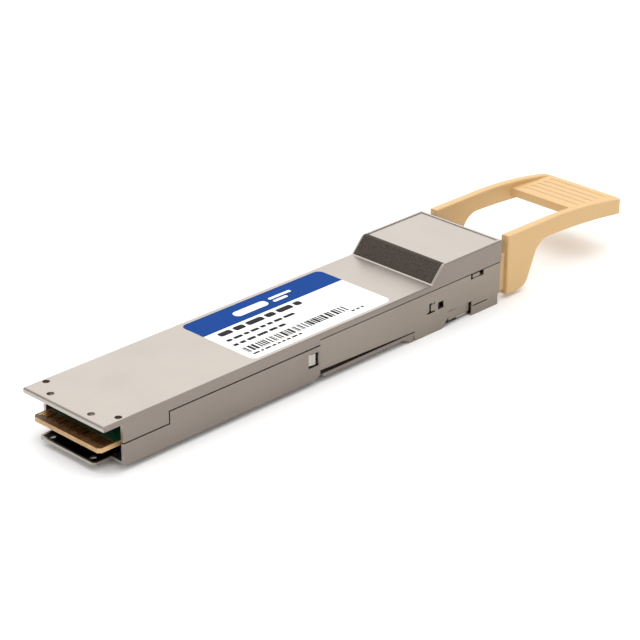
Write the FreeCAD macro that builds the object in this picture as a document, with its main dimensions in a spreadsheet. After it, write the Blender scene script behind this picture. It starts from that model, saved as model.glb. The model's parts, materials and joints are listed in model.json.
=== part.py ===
import FreeCAD, Part
import math
import os
from types import SimpleNamespace

import Sketcher

# Optical transceiver module with a flat thermal face, a raised port nose and a pull-tab release.
# Millimetres. Row frame: +Z up through the thermal face, +Y from the edge connector to the pull
# tab, X across the width, origin under the middle of the whole module at the nose's lowest face.
# Every sub-part is drawn in local coordinates whose Y starts at the connector end of the top
# plate, and its Placement carries it back by half the overall length.

DIMENSIONS = (
    # driving sizes
    ("module_width", 22.58, "outside width"),
    ("overall_length", 148.5, "connector end to pull-tab tip"),
    ("shell_length", 107.8, "connector end to port face"),
    ("body_height", 9.5, "body bottom to thermal face"),
    ("nose_drop", 1.2, "nose bottom below body bottom"),
    ("nose_rise", 3.5, "nose top above thermal face"),
    # housing
    ("plate_thickness", 1.08, "thermal plate"),
    ("wall_thickness", 1.2, "side walls in front of the cover sheet"),
    ("floor_thickness", 0.75, "bottom shell floor"),
    ("thin_wall", 0.7, "side walls at the connector end"),
    ("thin_wall_end", 9.0, "side walls at the connector end"),
    ("wall_start", 4.45, "front edge of the side walls"),
    ("tongue_start", 0.35, "front edge of the lower tongue and of the card"),
    ("tongue_half_width", 7.75, "lower tongue"),
    ("tongue_thickness", 0.6, "lower tongue"),
    ("seam_step", 15.4, "where the seam steps up"),
    ("seam_front", 5.6, "seam height in front of the step"),
    ("seam_rear", 8.13, "seam height behind the step"),
    ("seam_gap", 0.28, "gap between the shells"),
    ("narrow_start", 49.5, "where the inner walls step inward"),
    ("inner_half_width", 8.9, "cavity half width behind the step"),
    ("nose_inner_half_width", 8.3, "lower cavity half width in the nose"),
    ("nose_cavity_start", 88.0, "start of the lower nose cavity"),
    ("slope_start", 86.43, "foot of the slope"),
    ("slope_end", 89.63, "head of the slope"),
    ("nose_wall", 1.2, "nose roof"),
    ("rear_wall", 1.5, "wall around the port"),
    ("edge_chamfer", 0.2, "broken outer edges"),
    ("corner_round", 0.5, "rounded upright corners"),
    ("plate_hole_radius", 0.72, "tooling holes"),
    ("plate_hole_y", 1.87, "inner pair of tooling holes"),
    ("plate_hole_x", 5.7, "inner pair of tooling holes"),
    ("outer_hole_y", 4.47, "outer pair of tooling holes"),
    ("outer_hole_x", 10.1, "outer pair of tooling holes"),
    ("outer_hole_radius", 0.7, "outer pair of tooling holes"),
    ("outer_hole_depth", 0.8, "outer pair of tooling holes"),
    ("lip_depth", 0.15, "line along the plate's front edge"),
    ("lip_height", 0.1, "line along the plate's front edge"),
    ("lip_drop", 0.35, "line below the thermal face"),
    ("nose_inset", 0.7, "rim around the nose top"),
    ("nose_inset_depth", 0.15, "recess inside the rim"),
    # slope gasket
    ("foam_thickness", 0.6, "foam on the slope"),
    ("foam_border", 0.5, "metal left beside the foam"),
    # cover sheet
    ("cover_start", 54.5, "front edge of the cover sheet"),
    ("cover_rear_gap", 0.3, "port face behind the cover's edge"),
    ("cover_thickness", 0.25, "stamped sheet"),
    ("cover_top", 9.29, "upper edge of the cover's sides"),
    ("cover_line", 0.2, "gap above the cover's sides"),
    ("cover_low_front", 2.9, "lower edge at the front"),
    ("cover_low_rear", 2.15, "lower edge at the nose"),
    ("cover_floor_start", 81.45, "front of the cover's floor"),
    ("cover_floor_end", 106.9, "rear of the cover's floor"),
    ("rear_notch_height", 2.4, "notch at the lower rear corner"),
    ("finger_start", 91.6, "root of the pressed side finger"),
    ("finger_end", 98.6, "free end of the pressed side finger"),
    ("finger_top", 3.3, "top of the pressed side finger"),
    ("finger_low", 1.15, "bottom of the pressed side finger"),
    ("finger_depth", 0.5, "how far the finger leans inward"),
    ("finger_slot", 0.15, "gap around the finger"),
    ("finger_ramp", 2.0, "slanted cut in front of the finger"),
    ("finger_lead", 1.0, "floor cut away in front of the finger"),
    ("finger_ramp_top", 1.95, "slanted cut in front of the finger"),
    ("floor_edge_cut", 0.75, "floor cut away beside the finger"),
    ("slot_low", 4.6, "bracket-shaped slot"),
    ("slot_high", 6.85, "bracket-shaped slot"),
    ("slot_stem_start", 85.68, "upright of the bracket-shaped slot"),
    ("slot_stem_end", 86.23, "upright of the bracket-shaped slot"),
    ("slot_arm_end", 87.38, "arms of the bracket-shaped slot"),
    ("slot_arm_height", 0.4, "arms of the bracket-shaped slot"),
    ("slot_tail_start", 85.13, "tail of the bracket-shaped slot"),
    ("square_start", 88.33, "square hole"),
    ("square_end", 90.03, "square hole"),
    ("square_low", 4.75, "square hole"),
    ("square_high", 6.3, "square hole"),
    ("snap_notch_start", 98.3, "notch in the cover's upper edge"),
    ("snap_notch_end", 102.2, "notch in the cover's upper edge"),
    ("snap_notch_low", 8.19, "notch in the cover's upper edge"),
    ("slit_start", 99.1, "slit above the rear floor"),
    ("slit_end", 103.6, "slit above the rear floor"),
    ("slit_low", 2.0, "slit above the rear floor"),
    ("slit_high", 2.25, "slit above the rear floor"),
    ("snap_start", 99.05, "snap tab in the notch"),
    ("snap_end", 101.2, "snap tab in the notch"),
    ("snap_low", 7.89, "snap tab in the notch"),
    ("snap_high", 9.04, "snap tab in the notch"),
    ("snap_inner", 10.84, "snap tab in the notch"),
    ("snap_outer", 11.08, "snap tab in the notch"),
    ("snap_room", 0.3, "room around the snap tab"),
    ("floor_notch_start", 52.3, "V-shaped notch in front of the cover"),
    ("floor_notch_flat_end", 55.0, "V-shaped notch in front of the cover"),
    ("floor_notch_end", 55.8, "V-shaped notch in front of the cover"),
    ("wedge_start", 78.15, "wedge-shaped stop"),
    ("wedge_low_start", 80.65, "wedge-shaped stop"),
    ("wedge_low_end", 81.05, "wedge-shaped stop"),
    ("wedge_end", 81.25, "wedge-shaped stop"),
    # release slider and its channel
    ("channel_floor", 1.95, "lower side of the slider channel"),
    ("channel_roof", 7.4, "upper side of the slider channel"),
    ("channel_wall", 9.75, "inner side of the slider channel"),
    ("window_start", 51.3, "latch window"),
    ("window_end", 54.05, "latch window"),
    ("window_low", 4.2, "latch window"),
    ("window_high", 7.1, "latch window"),
    ("slider_inner", 9.9, "inner face of the slider arms"),
    ("slider_thickness", 0.5, "slider steel"),
    ("slider_low", 4.5, "lower edge of the arms"),
    ("slider_high", 6.8, "upper edge of the arms"),
    ("slider_tip", 51.55, "front end of the bent tips"),
    ("slider_tip_outer", 10.97, "outermost face of the bent tips"),
    ("slider_tip_inset", 0.35, "curl at the end of the tips"),
    ("slider_crown_start", 52.35, "outermost stretch of the tips"),
    ("slider_crown_end", 53.45, "outermost stretch of the tips"),
    ("slider_bend_end", 54.35, "where the tips bend out"),
    ("slider_bend_skew", 0.3, "offset of the bend's inner side"),
    ("slider_end", 107.0, "rear end of the arms"),
    ("bridge_start", 95.0, "cross plate under the nose"),
    ("bridge_end", 99.0, "cross plate under the nose"),
    ("bridge_low", 0.33, "cross plate under the nose"),
    ("bridge_thickness", 0.4, "cross plate under the nose"),
    ("bridge_pocket_start", 91.0, "room for the cross plate"),
    ("bridge_pocket_end", 103.0, "room for the cross plate"),
    ("bridge_pocket_roof", 0.95, "room for the cross plate"),
    # return springs
    ("spring_x", 9.15, "spring axis"),
    ("spring_z", 5.65, "spring axis"),
    ("spring_start", 93.1, "moving end at rest"),
    ("spring_end", 99.2, "fixed end"),
    ("spring_radius", 0.48, "mean coil radius"),
    ("spring_wire", 0.11, "wire radius"),
    ("spring_turns", 9, "coils"),
    ("pocket_start", 92.5, "spring pocket"),
    ("pocket_inner", 8.5, "spring pocket"),
    ("pocket_half_height", 0.7, "spring pocket"),
    ("pusher_length", 0.4, "slider tab behind the spring"),
    ("pusher_inner", 8.7, "slider tab behind the spring"),
    ("pusher_half_height", 0.45, "slider tab behind the spring"),
    # pull tab
    ("tab_half_width", 11.0, "outside of the tab's arms"),
    ("tab_arm", 1.9, "arm thickness"),
    ("tab_front", 110.2, "front face of the legs"),
    ("tab_leg_low", 0.9, "bottom of the legs"),
    ("tab_foot_rear", 116.2, "rear of the leg's foot"),
    ("tab_knee", 120.3, "where leg and arm meet below"),
    ("tab_knee_z", 10.3, "where leg and arm meet below"),
    ("tab_top", 14.1, "flat top of the arms"),
    ("tab_crest", 123.0, "end of the flat top"),
    ("tab_tip_high", 11.5, "top of the tip"),
    ("tab_tip_low", 8.1, "bottom of the tip"),
    ("tab_top_radius", 120.0, "arch of the arm's top"),
    ("tab_under_radius", 190.0, "arch of the arm's underside"),
    ("tab_knee_round", 4.5, "round at the knee"),
    ("tab_foot_round", 3.0, "round at the foot"),
    ("tab_tip_round", 1.4, "rounded tip corners"),
    ("tab_edge_round", 0.3, "rounded edges of the arms"),
    ("grip_start", 134.8, "inner edge of the grip panel"),
    ("grip_front_top", 12.3, "grip panel at its inner edge"),
    ("grip_front_low", 10.5, "grip panel at its inner edge"),
    ("grip_rear_low", 8.6, "grip panel at the tip"),
    ("grip_rear_top", 11.5, "grip panel at the tip"),
    ("grip_skin", 0.4, "top skin of the grip panel"),
    ("groove_count", 5, "grooves across the grip"),
    ("groove_start", 137.0, "grooves across the grip"),
    ("groove_pitch", 2.2, "grooves across the grip"),
    ("groove_width", 0.9, "grooves across the grip"),
    ("groove_depth", 0.07, "grooves across the grip"),
    ("groove_half_length", 7.4, "grooves across the grip"),
    ("prong_start", 102.0, "front end of the prongs"),
    ("prong_inner", 9.3, "prong inside face"),
    ("prong_outer", 10.9, "prong outside face"),
    ("prong_low", 1.9, "prong lower face"),
    ("prong_high", 7.95, "prong upper face"),
    ("neck_start", 107.6, "narrow neck behind the port face"),
    ("neck_outer", 10.1, "narrow neck behind the port face"),
    ("shoulder_start", 108.1, "shoulder between nose and leg"),
    ("shoulder_high", 10.2, "shoulder between nose and leg"),
    ("prong_channel_start", 101.5, "channel for the prongs"),
    ("prong_channel_wall", 9.05, "channel for the prongs"),
    ("prong_channel_floor", 1.7, "channel for the prongs"),
    # circuit board
    ("board_low", 4.5, "underside of the board"),
    ("board_thickness", 0.95, "board"),
    ("board_half_width", 9.36, "board at the edge connector"),
    ("board_rear_half_width", 8.6, "board between the narrow walls"),
    ("board_narrow_start", 48.8, "where the board narrows"),
    ("board_end", 84.0, "rear edge of the board"),
    ("board_corner", 0.6, "bevelled front corners"),
    ("contact_pitch", 0.6, "edge contacts"),
    ("contact_width", 0.4, "edge contacts"),
    ("contact_thickness", 0.05, "edge contacts"),
    ("contact_groups", 10, "ground-signal-signal groups"),
    ("ground_contact_start", 1.3, "ground contacts mate first"),
    ("signal_contact_start", 1.8, "signal contacts"),
    ("contact_end", 4.1, "rear of the contacts"),
    # fasteners
    ("screw_front_x", 7.6, "front screws"),
    ("screw_front_y", 22.0, "front screws"),
    ("screw_rear_x", 7.0, "rear screws"),
    ("screw_rear_y", 78.0, "rear screws"),
    ("boss_radius", 1.5, "screw bosses"),
    ("screw_radius", 0.75, "screw shank"),
    ("screw_tip", 8.6, "end of the screws"),
    ("screw_clearance", 0.15, "clearance in the lower boss"),
    ("thread_clearance", 0.02, "clearance in the upper boss"),
    ("screw_head_radius", 1.35, "countersunk head"),
    ("screw_head_height", 0.6, "countersunk head"),
    ("screw_head_sink", 0.05, "head below the floor's face"),
    ("screw_socket_radius", 0.5, "driver socket"),
    ("screw_socket_depth", 0.35, "driver socket"),
    # electronics
    ("chip_half_width", 6.5, "signal processor"),
    ("chip_start", 44.0, "signal processor"),
    ("chip_height", 1.6, "signal processor"),
    ("pad_thickness", 1.0, "thermal pads"),
    ("pedestal_margin", 0.4, "pedestals beyond the pads"),
    ("controller_size", 6.0, "microcontroller"),
    ("controller_height", 0.8, "microcontroller"),
    ("controller_x", -6.9, "microcontroller"),
    ("controller_y", 30.0, "microcontroller"),
    ("regulator_size", 3.0, "voltage regulators"),
    ("regulator_height", 0.9, "voltage regulators"),
    ("regulator_x", 1.0, "voltage regulators"),
    ("regulator_y", 26.0, "voltage regulators"),
    ("regulator_pitch", 4.2, "voltage regulators"),
    ("inductor_width", 2.0, "power inductors"),
    ("inductor_length", 2.5, "power inductors"),
    ("inductor_height", 1.2, "power inductors"),
    ("inductor_x", 0.6, "power inductors"),
    ("inductor_y", 31.5, "power inductors"),
    ("inductor_pitch", 2.7, "power inductors"),
    ("inductor_count", 3, "power inductors in a row"),
    ("oscillator_width", 2.5, "clock oscillator"),
    ("oscillator_length", 2.0, "clock oscillator"),
    ("oscillator_height", 0.8, "clock oscillator"),
    ("oscillator_x", -4.0, "clock oscillator"),
    ("oscillator_y", 39.0, "clock oscillator"),
    ("memory_width", 4.0, "memory under the board"),
    ("memory_length", 5.0, "memory under the board"),
    ("memory_height", 0.6, "memory under the board"),
    ("memory_y", 33.0, "memory under the board"),
    ("capacitor_width", 0.5, "decoupling capacitors"),
    ("capacitor_length", 1.0, "decoupling capacitors"),
    ("capacitor_height", 0.5, "decoupling capacitors"),
    ("capacitor_pitch", 1.3, "decoupling capacitors"),
    ("capacitor_count", 9, "decoupling capacitors in a row"),
    ("capacitor_gap", 0.8, "row to processor"),
    # optical engine
    ("substrate_half_width", 5.0, "carrier under the optics"),
    ("substrate_start", 72.0, "carrier under the optics"),
    ("substrate_length", 11.6, "carrier under the optics"),
    ("substrate_height", 0.4, "carrier under the optics"),
    ("driver_inner", 0.7, "driver and amplifier chips"),
    ("driver_outer", 3.9, "driver and amplifier chips"),
    ("driver_start", 73.2, "driver and amplifier chips"),
    ("driver_length", 2.8, "driver and amplifier chips"),
    ("driver_height", 0.3, "driver and amplifier chips"),
    ("array_inner", 0.9, "laser and photodiode arrays"),
    ("array_length", 1.1, "laser and photodiode arrays"),
    ("array_start", 78.2, "laser and photodiode arrays"),
    ("array_width", 0.35, "laser and photodiode arrays"),
    ("array_height", 0.15, "laser and photodiode arrays"),
    ("lens_half_width", 3.9, "lens block"),
    ("lens_start", 77.0, "lens block"),
    ("lens_end", 83.2, "lens block"),
    ("lens_height", 2.5, "lens block"),
    ("lens_cavity_half_width", 3.4, "hollow over the arrays"),
    ("lens_cavity_end", 79.4, "hollow over the arrays"),
    ("lens_cavity_margin", 0.6, "hollow over the arrays"),
    ("lens_cavity_height", 0.75, "hollow over the arrays"),
    ("mirror_depth", 1.1, "slanted reflecting pocket"),
    ("mirror_start", 77.8, "slanted reflecting pocket"),
    ("mirror_half_width", 3.0, "slanted reflecting pocket"),
    # optical port
    ("port_axis_z", 7.3, "port centre"),
    ("port_half_width", 6.25, "port opening"),
    ("port_half_height", 3.8, "port opening"),
    ("port_key_half_width", 1.6, "key slot over the opening"),
    ("port_key_height", 0.5, "key slot over the opening"),
    ("receptacle_half_width", 7.3, "receptacle"),
    ("receptacle_half_height", 4.4, "receptacle"),
    ("receptacle_start", 95.5, "receptacle"),
    ("receptacle_wall", 2.7, "receptacle's front wall"),
    ("latch_inner", 5.5, "latch arms in the port"),
    ("latch_thickness", 0.45, "latch arms in the port"),
    ("latch_end", 103.6, "latch arms in the port"),
    ("latch_half_height", 1.5, "latch arms in the port"),
    ("latch_hook", 0.5, "latch arms in the port"),
    ("ferrule_half_width", 3.2, "ferrule"),
    ("ferrule_half_height", 1.25, "ferrule"),
    ("ferrule_end", 101.5, "ferrule face"),
    ("shoulder_half_width", 3.5, "ferrule shoulder"),
    ("shoulder_half_height", 1.5, "ferrule shoulder"),
    ("shoulder_length", 2.0, "ferrule shoulder"),
    ("ferrule_clearance", 0.1, "ferrule in the receptacle"),
    ("pin_radius", 0.38, "held part of the guide pins"),
    ("pin_taper", 0.6, "taper between the two stretches"),
    ("pin_free_radius", 0.3495, "ground free ends of the guide pins"),
    ("pin_half_pitch", 2.3, "guide pins"),
    ("pin_end", 103.5, "guide-pin tips"),
    ("pin_bore_clearance", 0.005, "guide pins in the ferrule"),
    ("clamp_thickness", 0.8, "guide-pin clamp"),
    ("clamp_half_width", 3.4, "guide-pin clamp"),
    ("clamp_half_height", 1.4, "guide-pin clamp"),
    ("clamp_slot_half_width", 1.85, "opening for the boot"),
    ("clamp_slot_half_height", 0.75, "opening for the boot"),
    ("boot_start", 89.5, "ferrule boot"),
    ("retainer_half_width", 5.5, "ferrule retainer"),
    ("retainer_half_height", 2.3, "ferrule retainer"),
    ("retainer_thickness", 0.6, "ferrule retainer"),
    ("ribbon_half_width", 1.55, "fibre ribbon"),
    ("ribbon_thickness", 0.3, "fibre ribbon"),
    ("ribbon_start_z", 7.1, "where the ribbon leaves the lens"),
    ("ribbon_bend_start", 84.6, "ribbon bend"),
    ("ribbon_bend_end", 88.4, "ribbon bend"),
    ("gasket_start", 103.8, "gasket around the receptacle"),
    ("gasket_length", 1.5, "gasket around the receptacle"),
    ("gasket_thickness", 0.8, "gasket around the receptacle"),
    ("seam_gasket_inner", 10.35, "gasket between the shells"),
    ("seam_gasket_width", 0.6, "gasket between the shells"),
    # label
    ("label_low_x", -10.2, "label"),
    ("label_high_x", 10.4, "label"),
    ("label_start", 37.6, "label"),
    ("label_end", 75.7, "label"),
    ("label_thickness", 0.1, "label"),
    ("label_round", 1.5, "label corners"),
    ("label_clearance", 0.04, "label in its recess"),
)

SIDES = {"left": -1, "right": 1}
OVERSHOOT = 0.5
TOLERANCE = 1e-4


class Size:
    """A length that keeps the spreadsheet formula it comes from."""

    def __init__(self, value, text=None):
        self.value = float(value)
        self.text = text or f"({self.value!r})"

    def __add__(self, other):
        other = as_size(other)
        return Size(self.value + other.value, f"({self.text} + {other.text})")

    def __sub__(self, other):
        other = as_size(other)
        return Size(self.value - other.value, f"({self.text} - {other.text})")

    def __mul__(self, other):
        other = as_size(other)
        return Size(self.value * other.value, f"({self.text} * {other.text})")

    def __truediv__(self, other):
        other = as_size(other)
        return Size(self.value / other.value, f"({self.text} / {other.text})")

    def __radd__(self, other):
        return as_size(other) + self

    def __rsub__(self, other):
        return as_size(other) - self

    def __rmul__(self, other):
        return as_size(other) * self

    def __neg__(self):
        return 0 - self


def as_size(value):
    return value if isinstance(value, Size) else Size(value)


doc = FreeCAD.newDocument("OpticalTransceiver")
sheet = doc.addObject("Spreadsheet::Sheet", "Dims")
for row, (alias, number, meaning) in enumerate(DIMENSIONS, start=1):
    sheet.set(f"A{row}", alias)
    sheet.set(f"B{row}", str(number))
    sheet.set(f"C{row}", meaning)
    sheet.setAlias(f"B{row}", alias)
doc.recompute()
d = SimpleNamespace(**{alias: Size(number, f"Dims.{alias}") for alias, number, _ in DIMENSIONS})

# Levels and stations that several sub-parts share.
half_width = d.module_width / 2
thermal_z = d.nose_drop + d.body_height
nose_top = thermal_z + d.nose_rise
plate_low = thermal_z - d.plate_thickness
floor_top = d.nose_drop + d.floor_thickness
cavity_half_width = half_width - d.wall_thickness
thin_wall_inner = half_width - d.thin_wall
cover_inner = half_width - d.cover_thickness
cover_end = d.shell_length - d.cover_rear_gap
board_top = d.board_low + d.board_thickness
nose_roof = nose_top - d.nose_wall
port_wall_start = d.shell_length - d.rear_wall
slider_outer = d.slider_inner + d.slider_thickness
chip_top = board_top + d.chip_height
chip_end = d.chip_start + 2 * d.chip_half_width
substrate_top = board_top + d.substrate_height
driver_top = substrate_top + d.driver_height
driver_end = d.driver_start + d.driver_length
ferrule_start = d.receptacle_start - d.shoulder_length
clamp_start = ferrule_start - d.clamp_thickness
SCREWS = ((d.screw_front_x, d.screw_front_y), (d.screw_rear_x, d.screw_rear_y))

PARTS = []


def new_part(label):
    """Start the body of one sub-part, placed back by half the overall length."""
    body = doc.addObject("PartDesign::Body", label)
    body.Label = label
    body.setExpression("Placement.Base.y", (-d.overall_length / 2).text)
    PARTS.append(body)
    return body


def origin_feature(body, role):
    return next(item for item in body.Origin.OriginFeatures if item.Role == role)


def bind(feature, **sizes):
    """Bind properties of a feature to formulas on the sheet."""
    for name, size in sizes.items():
        feature.setExpression(name.replace("__", "."), as_size(size).text)


def block(body, kind, x, y, z):
    """A box between pairs of coordinates, added to or taken from the body."""
    feature = body.newObject(f"PartDesign::{kind}Box", f"{body.Label}_{kind}Box")
    spans = [(as_size(low), as_size(high)) for low, high in (x, y, z)]
    for name, (low, high) in zip(("Length", "Width", "Height"), spans):
        feature.setExpression(name, (high - low).text)
    for letter, (low, _) in zip("xyz", spans):
        feature.setExpression(f"Placement.Base.{letter}", low.text)
    return feature


def add_box(body, x, y, z):
    return block(body, "Additive", x, y, z)


def cut_box(body, x, y, z):
    return block(body, "Subtractive", x, y, z)


def side_span(side, inner, outer):
    """The X pair from inner to outer on the left (-1) or right (+1) side."""
    inner, outer = as_size(inner), as_size(outer)
    return (inner, outer) if side > 0 else (-outer, -inner)


def rod(body, kind, axis, start, radius, length):
    """A cylinder along Y or Z that starts at a point."""
    feature = body.newObject(f"PartDesign::{kind}Cylinder", f"{body.Label}_{kind}Rod")
    if axis == "Y":
        feature.Placement.Rotation = FreeCAD.Rotation(FreeCAD.Vector(1, 0, 0), -90)
    bind(feature, Radius=radius, Height=length)
    for letter, place in zip("xyz", start):
        feature.setExpression(f"Placement.Base.{letter}", as_size(place).text)
    return feature


def cone(body, kind, axis, start, low_radius, high_radius, height):
    """A cone along Y or Z that starts at a point."""
    feature = body.newObject(f"PartDesign::{kind}Cone", f"{body.Label}_{kind}Cone")
    if axis == "Y":
        feature.Placement.Rotation = FreeCAD.Rotation(FreeCAD.Vector(1, 0, 0), -90)
    bind(feature, Radius1=low_radius, Radius2=high_radius, Height=height)
    for letter, place in zip("xyz", start):
        feature.setExpression(f"Placement.Base.{letter}", as_size(place).text)
    return feature


def arc_between(start, end, radius):
    """The arc from start to end whose centre lies to the right for a positive radius."""
    middle = (start + end) * 0.5
    chord = end - start
    reach = math.sqrt(radius**2 - (chord.Length / 2) ** 2)
    right = FreeCAD.Vector(chord.y, -chord.x, 0).normalize()
    centre = middle + right * math.copysign(reach, radius)
    crown = centre + (middle - centre).normalize() * abs(radius)
    return Part.Arc(start, crown, end)


def outline(body, plane, corners, offset=0):
    """A closed sketch. A corner is (u, v), or (u, v, radius) where an arc leads to the next."""
    sketch = body.newObject("Sketcher::SketchObject", f"{body.Label}_Sketch")
    sketch.AttachmentSupport = [(origin_feature(body, plane), "")]
    sketch.MapMode = "FlatFace"
    sketch.setExpression("AttachmentOffset.Base.z", as_size(offset).text)
    corners = [tuple(as_size(item) for item in corner) for corner in corners]
    points = [FreeCAD.Vector(corner[0].value, corner[1].value, 0) for corner in corners]
    arcs = {}
    for index, corner in enumerate(corners):
        start, end = points[index], points[(index + 1) % len(points)]
        if len(corner) == 3:
            arc = arc_between(start, end, corner[2].value)
            sketch.addGeometry(arc, False)
            # FreeCAD keeps every arc counter-clockwise, so a clockwise one starts at its end.
            arcs[index] = corner[2].value > 0
            radius = sketch.addConstraint(Sketcher.Constraint("Radius", index, abs(corner[2].value)))
            sketch.setExpression(f"Constraints[{radius}]", f"abs({corner[2].text})")
        else:
            sketch.addGeometry(Part.LineSegment(start, end), False)
    for index in range(len(corners)):
        follower = (index + 1) % len(corners)
        end_point = 1 if arcs.get(index) else 2
        start_point = 2 if arcs.get(follower) else 1
        sketch.addConstraint(Sketcher.Constraint("Coincident", index, end_point, follower, start_point))
    for index, corner in enumerate(corners):
        start_point = 2 if arcs.get(index) else 1
        for kind, size in zip(("DistanceX", "DistanceY"), corner):
            number = sketch.addConstraint(Sketcher.Constraint(kind, index, start_point, size.value))
            sketch.setExpression(f"Constraints[{number}]", size.text)
    return sketch


def extrude(body, kind, plane, corners, low, high):
    """Pad or pocket a closed outline between two distances along the plane's normal."""
    sketch = outline(body, plane, corners, low)
    feature = body.newObject(f"PartDesign::{kind}", f"{body.Label}_{kind}")
    feature.Profile = sketch
    feature.setExpression("Length", (as_size(high) - as_size(low)).text)
    feature.Reversed = kind == "Pocket"
    return feature


def edges_where(body, test):
    """The tip feature with the names of its edges whose list of end points passes the test."""
    doc.recompute()
    tip = body.Tip
    names = []
    for number, edge in enumerate(tip.Shape.Edges, start=1):
        if test([vertex.Point for vertex in edge.Vertexes]):
            names.append(f"Edge{number}")
    if not names:
        raise RuntimeError(f"no edge found on {body.Label}")
    return tip, names


def near(value, size):
    return abs(value - as_size(size).value) < TOLERANCE


def dress(body, kind, size, test):
    """Chamfer or fillet the edges whose list of end points passes the test."""
    base = edges_where(body, test)
    feature = body.newObject(f"PartDesign::{kind}", f"{body.Label}_{kind}")
    feature.Base = base
    bind(feature, **{"Size" if kind == "Chamfer" else "Radius": size})
    body.Tip = feature
    doc.recompute()
    if "Invalid" in feature.State or not feature.Shape.isValid():
        raise RuntimeError(f"{feature.Name} failed")
    return feature


def repeat_along_x(body, feature, pitch, count):
    """Repeat one feature of the body along X."""
    pattern = body.newObject("PartDesign::LinearPattern", f"{body.Label}_Pattern")
    pattern.Originals = [feature]
    pattern.Direction = (origin_feature(body, "X_Axis"), [""])
    bind(pattern, Length=pitch * (as_size(count) - 1))
    pattern.Occurrences = int(as_size(count).value)
    pattern.setExpression("Occurrences", as_size(count).text)
    body.Tip = pattern
    return pattern


def make_top_shell():
    body = new_part("top_shell")
    rear_low = d.seam_rear + d.seam_gap
    front_low = d.seam_front + d.seam_gap
    outside = (
        (0, plate_low),
        (0, thermal_z),
        (d.slope_start, thermal_z),
        (d.slope_end, nose_top),
        (d.shell_length, nose_top),
        (d.shell_length, rear_low),
        (d.seam_step, rear_low),
        (d.seam_step, front_low),
        (d.wall_start, front_low),
        (d.wall_start, plate_low),
    )
    extrude(body, "Pad", "YZ_Plane", outside, -half_width, half_width)
    high = thermal_z.value - TOLERANCE
    dress(body, "Chamfer", d.edge_chamfer,
          lambda ends: all(p.z > high and near(abs(p.x), half_width) for p in ends))
    # cavity over the board, then the narrower one, then the hollow nose
    cut_box(body, (-cavity_half_width, cavity_half_width), (0, d.narrow_start), (d.seam_front, plate_low))
    cut_box(body, (-thin_wall_inner, thin_wall_inner), (0, d.thin_wall_end), (d.seam_front, plate_low))
    cut_box(body, (-d.inner_half_width, d.inner_half_width), (d.narrow_start - OVERSHOOT, d.slope_start),
            (d.seam_rear, plate_low))
    nose_inside = (
        (d.slope_start - OVERSHOOT, d.seam_rear),
        (d.slope_start - OVERSHOOT, plate_low),
        (d.slope_start + OVERSHOOT, plate_low),
        (d.slope_end + OVERSHOOT, nose_roof),
        (port_wall_start, nose_roof),
        (port_wall_start, d.seam_rear),
    )
    extrude(body, "Pocket", "YZ_Plane", nose_inside, -d.inner_half_width, d.inner_half_width)
    # seat for the cover sheet's sides, with the dark line above their upper edge
    for side in SIDES.values():
        cut_box(body, side_span(side, cover_inner, half_width + OVERSHOOT),
                (d.cover_start, d.shell_length + OVERSHOOT), (d.seam_rear, d.cover_top + d.cover_line))
        cut_box(body, side_span(side, d.channel_wall, half_width),
                (d.snap_notch_start - d.snap_room, d.snap_notch_end + d.snap_room),
                (d.seam_rear, d.cover_top))
    cut_port_opening(body)
    cut_box(body, (-half_width, half_width), (0, d.lip_depth),
            (thermal_z - d.lip_drop, thermal_z - d.lip_drop + d.lip_height))
    for side in SIDES.values():
        rod(body, "Subtractive", "Z", (side * d.plate_hole_x, d.plate_hole_y, plate_low),
            d.plate_hole_radius, d.plate_thickness)
        rod(body, "Subtractive", "Z", (side * d.outer_hole_x, d.outer_hole_y, thermal_z - d.outer_hole_depth),
            d.outer_hole_radius, d.outer_hole_depth)
    # shallow recess inside the rim of the nose top
    cut_box(body, (-half_width + d.nose_inset, half_width - d.nose_inset),
            (d.slope_end + d.nose_inset, d.shell_length - d.nose_inset),
            (nose_top - d.nose_inset_depth, nose_top))
    # pocket that the slope foam fills
    extrude(body, "Pocket", "YZ_Plane", slope_band(), -half_width + d.foam_border, half_width - d.foam_border)
    # recess that keeps the label level with the thermal face
    extrude(body, "Pocket", "XY_Plane", label_outline(0), thermal_z - d.label_thickness, thermal_z)
    # pedestals down to the thermal pads
    add_box(body, (-d.chip_half_width - d.pedestal_margin, d.chip_half_width + d.pedestal_margin),
            (d.chip_start - d.pedestal_margin, chip_end + d.pedestal_margin),
            (chip_top + d.pad_thickness, plate_low))
    add_box(body, (-d.driver_outer - d.pedestal_margin, d.driver_outer + d.pedestal_margin),
            (d.driver_start - d.pedestal_margin, driver_end + d.pedestal_margin),
            (driver_top + d.pad_thickness, plate_low))
    for side in SIDES.values():
        for screw_x, screw_y in SCREWS:
            rod(body, "Additive", "Z", (side * screw_x, screw_y, board_top), d.boss_radius,
                plate_low - board_top)
            rod(body, "Subtractive", "Z", (side * screw_x, screw_y, board_top),
                d.screw_radius + d.thread_clearance, d.screw_tip - board_top)
    return body


def cut_port_opening(body):
    """The port's opening through the rear wall, shared by both shells."""
    cut_box(body, (-d.port_half_width, d.port_half_width),
            (port_wall_start - OVERSHOOT, d.shell_length + OVERSHOOT),
            (d.port_axis_z - d.port_half_height, d.port_axis_z + d.port_half_height))


def slope_band():
    """The foam's section: a band of even thickness just under the slope's face."""
    run = (d.slope_end - d.slope_start).value
    rise = d.nose_rise.value
    lean = math.hypot(run, rise) / rise
    width = d.foam_thickness * lean
    return (
        (d.slope_start, thermal_z),
        (d.slope_start + width, thermal_z),
        (d.slope_end + width, nose_top),
        (d.slope_end, nose_top),
    )


def make_slope_gasket():
    body = new_part("slope_emi_gasket")
    reach = half_width - d.foam_border
    extrude(body, "Pad", "YZ_Plane", slope_band(), -reach, reach)
    return body


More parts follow.
